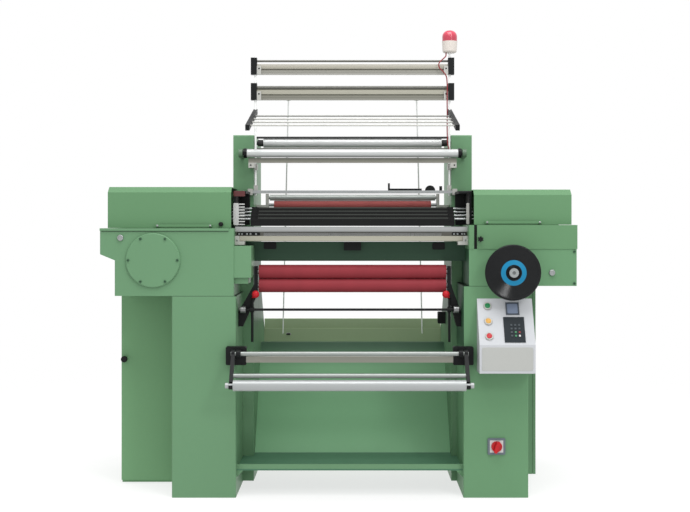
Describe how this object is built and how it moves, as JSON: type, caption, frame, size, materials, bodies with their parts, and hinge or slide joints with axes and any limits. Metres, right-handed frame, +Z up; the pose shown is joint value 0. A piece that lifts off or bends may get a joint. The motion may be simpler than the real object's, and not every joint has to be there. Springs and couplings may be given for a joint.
{
  "type": "crochet knitting machine",
  "caption": "Green crochet knitting machine with cabinet columns, weft bars, rollers, yarn masts, console and handwheel, for making narrow knitted trims.",
  "frame": {"origin": "on the floor, under the middle of the machine's bounding box", "axes": "+X to the operator's right, +Y from the operator's side to the back, +Z up"},
  "size_m": [1.863, 1.0749, 1.875],
  "materials": {
    "green_paint": "satin enamel paint",
    "black_paint": "satin black enamel",
    "beige_paint": "satin beige enamel",
    "steel": "ground steel",
    "chrome": "bright plating",
    "alloy": "satin anodised",
    "red_rubber": "matte rubber covering",
    "black_plastic": "moulded",
    "grey_paint": "pale grey enamel",
    "keypad_black": "moulded keypad",
    "green_plastic": "moulded",
    "yellow_plastic": "moulded",
    "red_plastic": "moulded",
    "cream_plastic": "moulded",
    "lamp_red": "translucent lens",
    "cable_red": "insulated lead",
    "cast_grey": "painted casting",
    "belt_rubber": "belt"
  },
  "bodies": {
    "frame": {"left_column": "green_paint", "right_column": "green_paint", "left_side_frame": "green_paint", "right_side_frame": "green_paint", "left_cabinet": "green_paint", "right_cabinet": "green_paint", "left_gear_box": "green_paint", "gear_box_cover": "green_paint", "cover_bolts": "steel", "oil_sights": "chrome", "right_head_box": "green_paint", "right_head_band": "green_paint", "bar_end_frames": "black_paint", "bed_front_plate": "alloy", "bed_beam": "green_paint", "stop_motion_parts": "black_paint", "take_down_brackets": "black_paint", "take_down_gear_case": "green_paint", "yarn_guide_bars": "beige_paint", "mast_brackets": "black_paint", "mast_poles": "steel", "clamp_blocks": "alloy", "chute_tray": "green_paint", "winding_brackets": "black_paint", "winding_bars": "beige_paint", "console": "grey_paint", "console_keypad": "keypad_black", "switch_plate": "cream_plastic", "main_motor": "cast_grey", "drive_belt": "belt_rubber", "lamp_base": "cream_plastic", "lamp_lens": "lamp_red", "lamp_cable": "cable_red"},
    "handwheel": {"handwheel": "black_plastic"},
    "main_shaft": {"main_shaft": "steel"},
    "main_pulley": {"main_pulley": "steel"},
    "motor_pulley": {"motor_pulley": "steel"},
    "pattern_drum": {"pattern_drum": "steel"},
    "left_cover": {"left_cover": "green_paint"},
    "right_cover": {"right_cover": "green_paint"},
    "cabinet_door": {"cabinet_door": "green_paint"},
    "weft_bar_1": {"weft_bar_1": "black_paint"},
    "weft_bar_2": {"weft_bar_2": "black_paint"},
    "weft_bar_3": {"weft_bar_3": "black_paint"},
    "weft_bar_4": {"weft_bar_4": "black_paint"},
    "needle_bar": {"needle_bar": "beige_paint"},
    "upper_take_down_roller": {"upper_take_down_roller": "red_rubber"},
    "lower_take_down_roller": {"lower_take_down_roller": "red_rubber"},
    "feed_roller": {"feed_roller": "chrome"},
    "pull_roller": {"pull_roller": "red_rubber"},
    "front_let_off_roller": {"front_let_off_roller": "alloy"},
    "rear_let_off_roller": {"rear_let_off_roller": "alloy"},
    "winding_arms": {"winding_arms": "black_paint"},
    "winding_roller": {"winding_roller": "alloy"},
    "pressure_levers": {"pressure_levers": "black_plastic"},
    "start_button": {"start_button": "green_plastic"},
    "inch_button": {"inch_button": "yellow_plastic"},
    "stop_button": {"stop_button": "red_plastic"},
    "switch_handle": {"switch_handle": "red_plastic"},
    "head_knob": {"head_knob": "black_plastic"}
  },
  "joints": [
    {"name": "handwheel_turn", "type": "hinge", "parent": "frame", "child": "handwheel", "pos_m": [0.67, -0.4505, 0.881], "axis": [0, 1, 0], "continuous": true},
    {"name": "main_shaft_turn", "type": "hinge", "parent": "frame", "child": "main_shaft", "pos_m": [0.054, -0.1765, 0.945], "axis": [1, 0, 0], "continuous": true},
    {"name": "main_pulley_turn", "type": "hinge", "parent": "frame", "child": "main_pulley", "pos_m": [-0.698, 0.0835, 0.62], "axis": [1, 0, 0], "continuous": true},
    {"name": "motor_pulley_turn", "type": "hinge", "parent": "frame", "child": "motor_pulley", "pos_m": [-0.698, 0.0835, 0.15], "axis": [1, 0, 0], "continuous": true},
    {"name": "pattern_drum_turn", "type": "hinge", "parent": "frame", "child": "pattern_drum", "pos_m": [-0.586, -0.3125, 1.113], "axis": [0, 1, 0], "continuous": true},
    {"name": "left_cover_turn", "type": "hinge", "parent": "frame", "child": "left_cover", "pos_m": [-0.423, -0.0845, 1.209], "axis": [-1, 0, 0], "range_deg": [0, 75]},
    {"name": "right_cover_turn", "type": "hinge", "parent": "frame", "child": "right_cover", "pos_m": [0.531, -0.0845, 1.199], "axis": [-1, 0, 0], "range_deg": [0, 75]},
    {"name": "cabinet_door_turn", "type": "hinge", "parent": "frame", "child": "cabinet_door", "pos_m": [-0.655, -0.1148, 0.512], "axis": [0, 0, 1], "range_deg": [0, 80]},
    {"name": "weft_bar_1_slide", "type": "slide", "parent": "frame", "child": "weft_bar_1", "axis": [1, 0, 0], "range_m": [0, 0.02]},
    {"name": "weft_bar_2_slide", "type": "slide", "parent": "frame", "child": "weft_bar_2", "axis": [1, 0, 0], "range_m": [0, 0.02]},
    {"name": "weft_bar_3_slide", "type": "slide", "parent": "frame", "child": "weft_bar_3", "axis": [1, 0, 0], "range_m": [0, 0.02]},
    {"name": "weft_bar_4_slide", "type": "slide", "parent": "frame", "child": "weft_bar_4", "axis": [1, 0, 0], "range_m": [0, 0.02]},
    {"name": "needle_bar_slide", "type": "slide", "parent": "frame", "child": "needle_bar", "axis": [0, -1, 0], "range_m": [0, 0.012]},
    {"name": "upper_take_down_roller_turn", "type": "hinge", "parent": "frame", "child": "upper_take_down_roller", "pos_m": [0.054, -0.264, 0.8775], "axis": [1, 0, 0], "continuous": true},
    {"name": "lower_take_down_roller_turn", "type": "hinge", "parent": "frame", "child": "lower_take_down_roller", "pos_m": [0.054, -0.264, 0.8225], "axis": [1, 0, 0], "continuous": true},
    {"name": "feed_roller_turn", "type": "hinge", "parent": "frame", "child": "feed_roller", "pos_m": [0.054, 0.0735, 1.181], "axis": [1, 0, 0], "continuous": true},
    {"name": "pull_roller_turn", "type": "hinge", "parent": "frame", "child": "pull_roller", "pos_m": [0.054, 0.0735, 1.1494], "axis": [1, 0, 0], "continuous": true},
    {"name": "front_let_off_roller_turn", "type": "hinge", "parent": "frame", "child": "front_let_off_roller", "pos_m": [0.054, -0.1465, 1.358], "axis": [1, 0, 0], "continuous": true},
    {"name": "rear_let_off_roller_turn", "type": "hinge", "parent": "frame", "child": "rear_let_off_roller", "pos_m": [0.054, -0.0065, 1.409], "axis": [1, 0, 0], "continuous": true},
    {"name": "winding_arms_turn", "type": "hinge", "parent": "frame", "child": "winding_arms", "pos_m": [0.043, -0.4265, 0.567], "axis": [-1, 0, 0], "range_deg": [0, 60]},
    {"name": "winding_roller_turn", "type": "hinge", "parent": "winding_arms", "child": "winding_roller", "pos_m": [0.043, -0.5165, 0.457], "axis": [1, 0, 0], "continuous": true},
    {"name": "pressure_levers_turn", "type": "hinge", "parent": "frame", "child": "pressure_levers", "pos_m": [0.054, -0.2965, 0.728], "axis": [1, 0, 0], "range_deg": [0, 25]},
    {"name": "start_button_slide", "type": "slide", "parent": "frame", "child": "start_button", "axis": [0, 0.8698, -0.4934], "range_m": [0, 0.004], "stiffness_N_per_m": 400},
    {"name": "inch_button_slide", "type": "slide", "parent": "frame", "child": "inch_button", "axis": [0, 0.8698, -0.4934], "range_m": [0, 0.004], "stiffness_N_per_m": 400},
    {"name": "stop_button_slide", "type": "slide", "parent": "frame", "child": "stop_button", "axis": [0, 0.8698, -0.4934], "range_m": [0, 0.004], "stiffness_N_per_m": 400},
    {"name": "switch_handle_turn", "type": "hinge", "parent": "frame", "child": "switch_handle", "pos_m": [0.615, -0.3765, 0.201], "axis": [0, 1, 0], "range_deg": [0, 90]},
    {"name": "head_knob_turn", "type": "hinge", "parent": "frame", "child": "head_knob", "pos_m": [0.551, -0.3765, 1.009], "axis": [0, 1, 0], "continuous": true}
  ],
  "couplings": [
    {"joint": "main_shaft_turn", "follows": "handwheel_turn", "ratio": 1},
    {"joint": "main_pulley_turn", "follows": "handwheel_turn", "ratio": 1},
    {"joint": "motor_pulley_turn", "follows": "handwheel_turn", "ratio": 2.5},
    {"joint": "pattern_drum_turn", "follows": "handwheel_turn", "ratio": 0.083333},
    {"joint": "lower_take_down_roller_turn", "follows": "upper_take_down_roller_turn", "ratio": -1},
    {"joint": "pull_roller_turn", "follows": "feed_roller_turn", "ratio": -0.72222},
    {"joint": "rear_let_off_roller_turn", "follows": "front_let_off_roller_turn", "ratio": 0.85}
  ]
}
